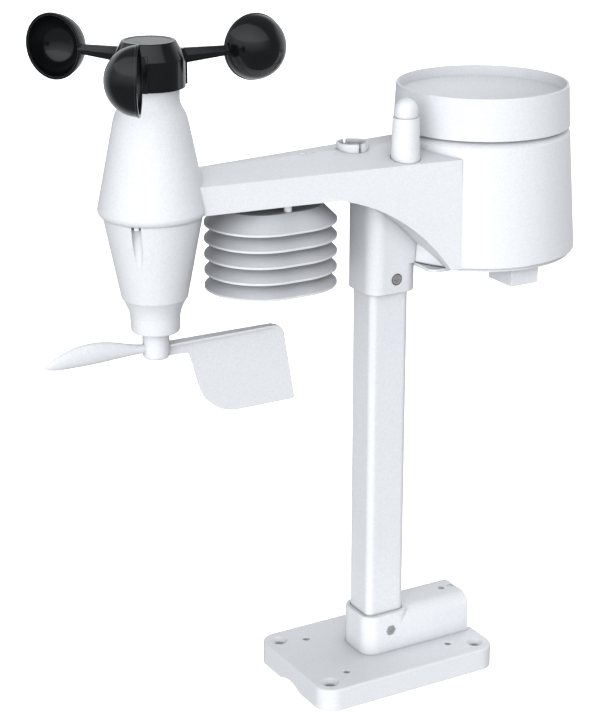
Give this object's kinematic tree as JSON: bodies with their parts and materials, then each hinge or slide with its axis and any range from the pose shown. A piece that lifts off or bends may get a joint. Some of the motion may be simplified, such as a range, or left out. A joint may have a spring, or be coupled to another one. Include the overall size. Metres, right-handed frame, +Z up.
{
  "type": "cup anemometer",
  "caption": "Outdoor weather sensor: cup anemometer and wind vane on an arm, tipping-bucket rain gauge, louvred temperature shield, square pole and screw-down base.",
  "frame": {"origin": "centre of the base bolt pattern, on the underside of the base plate", "axes": "+Z up along the pole, +X along the arm from the wind sensor towards the rain gauge, +Y away from the side of the arm that faces the viewer"},
  "size_m": [0.3217, 0.1359, 0.3938],
  "materials": {
    "white_plastic": "fine matte moulding texture",
    "black_plastic": "gloss",
    "steel": "zinc-plated",
    "brass": "plain",
    "magnet": "nickel-plated",
    "circuit_board": "solder mask",
    "battery_wrap": "shrink wrap",
    "clear_plastic": "clear",
    "seal_rubber": "matte"
  },
  "bodies": {
    "frame": {"antenna_cap": "white_plastic", "antenna_rod": "steel", "antenna_sleeve": "white_plastic", "base_plate": "white_plastic", "battery_1": "battery_wrap", "battery_2": "battery_wrap", "battery_3": "battery_wrap", "battery_contacts": "steel", "battery_door": "white_plastic", "battery_door_screws": "steel", "battery_door_seal": "seal_rubber", "bucket_axle": "steel", "bucket_cradle": "white_plastic", "cover_screws": "steel", "floor_screws": "steel", "gauge_floor": "white_plastic", "level_holder": "white_plastic", "level_vial": "clear_plastic", "light_pipe": "clear_plastic", "lower_cover": "white_plastic", "lower_wind_housing": "white_plastic", "main_board": "circuit_board", "main_housing": "white_plastic", "pole": "white_plastic", "pole_lock_nuts": "steel", "pole_lock_screws": "steel", "rain_reed_board": "circuit_board", "reset_switch": "circuit_board", "rotor_bearing_lower": "brass", "rotor_bearing_upper": "brass", "shield_louvre_1": "white_plastic", "shield_louvre_2": "white_plastic", "shield_louvre_3": "white_plastic", "shield_louvre_4": "white_plastic", "shield_louvre_5": "white_plastic", "shield_posts": "white_plastic", "shield_screws": "steel", "temperature_sensor": "circuit_board", "vane_bearing_lower": "brass", "vane_bearing_upper": "brass", "wind_direction_board": "circuit_board", "wind_speed_board": "circuit_board"},
    "rotor": {"rotor_hub": "black_plastic", "hub_cap": "black_plastic", "wind_cup_1": "black_plastic", "wind_cup_2": "black_plastic", "wind_cup_3": "black_plastic", "rotor_shaft": "steel", "rotor_magnet": "magnet"},
    "vane": {"wind_vane": "white_plastic", "vane_shaft": "steel", "vane_magnet": "magnet"},
    "bucket": {"tipping_bucket": "white_plastic", "bucket_magnet": "magnet"},
    "collector": {"rain_collector": "white_plastic"},
    "button": {"reset_button": "white_plastic"}
  },
  "joints": [
    {"name": "rotor_spin", "type": "hinge", "parent": "frame", "child": "rotor", "pos_m": [-0.14, 0, 0.37], "axis": [0, 0, 1], "continuous": true},
    {"name": "vane_turn", "type": "hinge", "parent": "frame", "child": "vane", "pos_m": [-0.14, 0, 0.225], "axis": [0, 0, 1], "continuous": true},
    {"name": "bucket_tip", "type": "hinge", "parent": "frame", "child": "bucket", "pos_m": [0.0642, 0, 0.2815], "axis": [1, 0, 0], "range_deg": [-20, 20]},
    {"name": "collector_lift", "type": "slide", "parent": "frame", "child": "collector", "axis": [0, 0, 1], "range_m": [0, 0.045]},
    {"name": "reset_press", "type": "slide", "parent": "frame", "child": "button", "axis": [0, 0, 1], "range_m": [0, 0.0008], "stiffness_N_per_m": 900, "springref_m": -0.0004}
  ]
}
